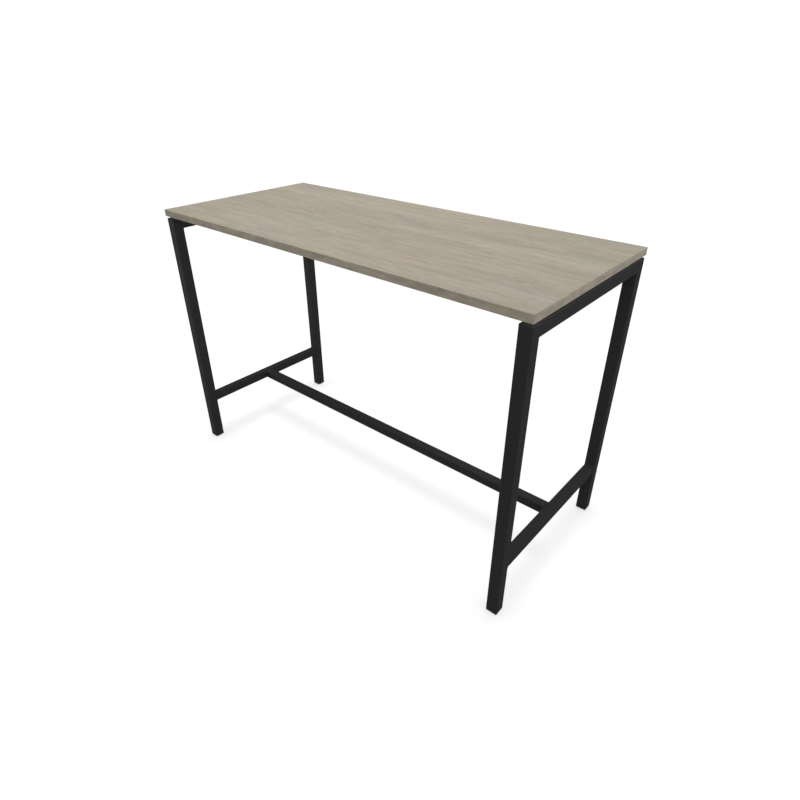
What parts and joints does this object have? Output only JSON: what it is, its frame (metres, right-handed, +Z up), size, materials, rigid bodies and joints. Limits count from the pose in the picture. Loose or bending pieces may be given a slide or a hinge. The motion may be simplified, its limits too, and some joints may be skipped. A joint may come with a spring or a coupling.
{
  "type": "standing meeting table",
  "caption": "High rectangular meeting table: wood-decor top on welded square-tube end frames, joined by a low stretcher, with screw-adjusted levelling feet.",
  "frame": {"origin": "on the floor, under the middle of the top", "axes": "+X along the table's length, to the right seen from the front; +Y from front to rear; +Z up"},
  "size_m": [1.6, 0.7, 1.05],
  "materials": {
    "wood_decor": "satin light grey-beige wood decor, fine grain along the length, on a chipboard core",
    "edge_band": "satin plastic edge band in the same decor",
    "black_steel": "matt black fine-texture powder coat",
    "black_plastic": "matt black moulded plastic",
    "zinc_steel": "zinc-plated steel"
  },
  "bodies": {
    "table": {"beam_plate_front_left": "black_steel", "beam_plate_front_right": "black_steel", "beam_plate_rear_left": "black_steel", "beam_plate_rear_right": "black_steel", "beam_screw_front_a_left": "zinc_steel", "beam_screw_front_a_right": "zinc_steel", "beam_screw_front_b_left": "zinc_steel", "beam_screw_front_b_right": "zinc_steel", "beam_screw_rear_a_left": "zinc_steel", "beam_screw_rear_a_right": "zinc_steel", "beam_screw_rear_b_left": "zinc_steel", "beam_screw_rear_b_right": "zinc_steel", "edge_band_front": "edge_band", "edge_band_left": "edge_band", "edge_band_rear": "edge_band", "edge_band_right": "edge_band", "foot_rail_left": "black_steel", "foot_rail_right": "black_steel", "leg_front_left": "black_steel", "leg_front_right": "black_steel", "leg_plug_front_left": "black_plastic", "leg_plug_front_right": "black_plastic", "leg_plug_rear_left": "black_plastic", "leg_plug_rear_right": "black_plastic", "leg_rear_left": "black_steel", "leg_rear_right": "black_steel", "spacer_beam_front_left": "black_plastic", "spacer_beam_front_right": "black_plastic", "spacer_beam_rear_left": "black_plastic", "spacer_beam_rear_right": "black_plastic", "spacer_rail_front_left": "black_plastic", "spacer_rail_front_right": "black_plastic", "spacer_rail_rear_left": "black_plastic", "spacer_rail_rear_right": "black_plastic", "stretcher": "black_steel", "stretcher_screw_left": "zinc_steel", "stretcher_screw_right": "zinc_steel", "stretcher_spigot_left": "zinc_steel", "stretcher_spigot_right": "zinc_steel", "support_beam_front": "black_steel", "support_beam_rear": "black_steel", "top_board": "wood_decor", "top_rail_left": "black_steel", "top_rail_right": "black_steel", "top_screw_beam_front_left": "zinc_steel", "top_screw_beam_front_right": "zinc_steel", "top_screw_beam_rear_left": "zinc_steel", "top_screw_beam_rear_right": "zinc_steel", "top_screw_rail_front_left": "zinc_steel", "top_screw_rail_front_right": "zinc_steel", "top_screw_rail_rear_left": "zinc_steel", "top_screw_rail_rear_right": "zinc_steel"},
    "foot_pad_front_left": {"foot_pad_front_left": "black_plastic"},
    "foot_spindle_front_left": {"foot_spindle_front_left": "zinc_steel"},
    "foot_pad_rear_left": {"foot_pad_rear_left": "black_plastic"},
    "foot_spindle_rear_left": {"foot_spindle_rear_left": "zinc_steel"},
    "foot_pad_front_right": {"foot_pad_front_right": "black_plastic"},
    "foot_spindle_front_right": {"foot_spindle_front_right": "zinc_steel"},
    "foot_pad_rear_right": {"foot_pad_rear_right": "black_plastic"},
    "foot_spindle_rear_right": {"foot_spindle_rear_right": "zinc_steel"}
  },
  "joints": [
    {"name": "foot_front_left_travel", "type": "slide", "parent": "table", "child": "foot_pad_front_left", "axis": [0, 0, -1], "range_m": [0, 0.015]},
    {"name": "foot_front_left_turn", "type": "hinge", "parent": "foot_pad_front_left", "child": "foot_spindle_front_left", "pos_m": [-0.779, -0.327, 0.004], "axis": [0, 0, -1], "range_deg": [0, 4320]},
    {"name": "foot_rear_left_travel", "type": "slide", "parent": "table", "child": "foot_pad_rear_left", "axis": [0, 0, -1], "range_m": [0, 0.015]},
    {"name": "foot_rear_left_turn", "type": "hinge", "parent": "foot_pad_rear_left", "child": "foot_spindle_rear_left", "pos_m": [-0.779, 0.327, 0.004], "axis": [0, 0, -1], "range_deg": [0, 4320]},
    {"name": "foot_front_right_travel", "type": "slide", "parent": "table", "child": "foot_pad_front_right", "axis": [0, 0, -1], "range_m": [0, 0.015]},
    {"name": "foot_front_right_turn", "type": "hinge", "parent": "foot_pad_front_right", "child": "foot_spindle_front_right", "pos_m": [0.779, -0.327, 0.004], "axis": [0, 0, -1], "range_deg": [0, 4320]},
    {"name": "foot_rear_right_travel", "type": "slide", "parent": "table", "child": "foot_pad_rear_right", "axis": [0, 0, -1], "range_m": [0, 0.015]},
    {"name": "foot_rear_right_turn", "type": "hinge", "parent": "foot_pad_rear_right", "child": "foot_spindle_rear_right", "pos_m": [0.779, 0.327, 0.004], "axis": [0, 0, -1], "range_deg": [0, 4320]}
  ],
  "couplings": [
    {"joint": "foot_front_left_turn", "follows": "foot_front_left_travel", "rad_per_m": 5026.5},
    {"joint": "foot_rear_left_turn", "follows": "foot_rear_left_travel", "rad_per_m": 5026.5},
    {"joint": "foot_front_right_turn", "follows": "foot_front_right_travel", "rad_per_m": 5026.5},
    {"joint": "foot_rear_right_turn", "follows": "foot_rear_right_travel", "rad_per_m": 5026.5}
  ]
}
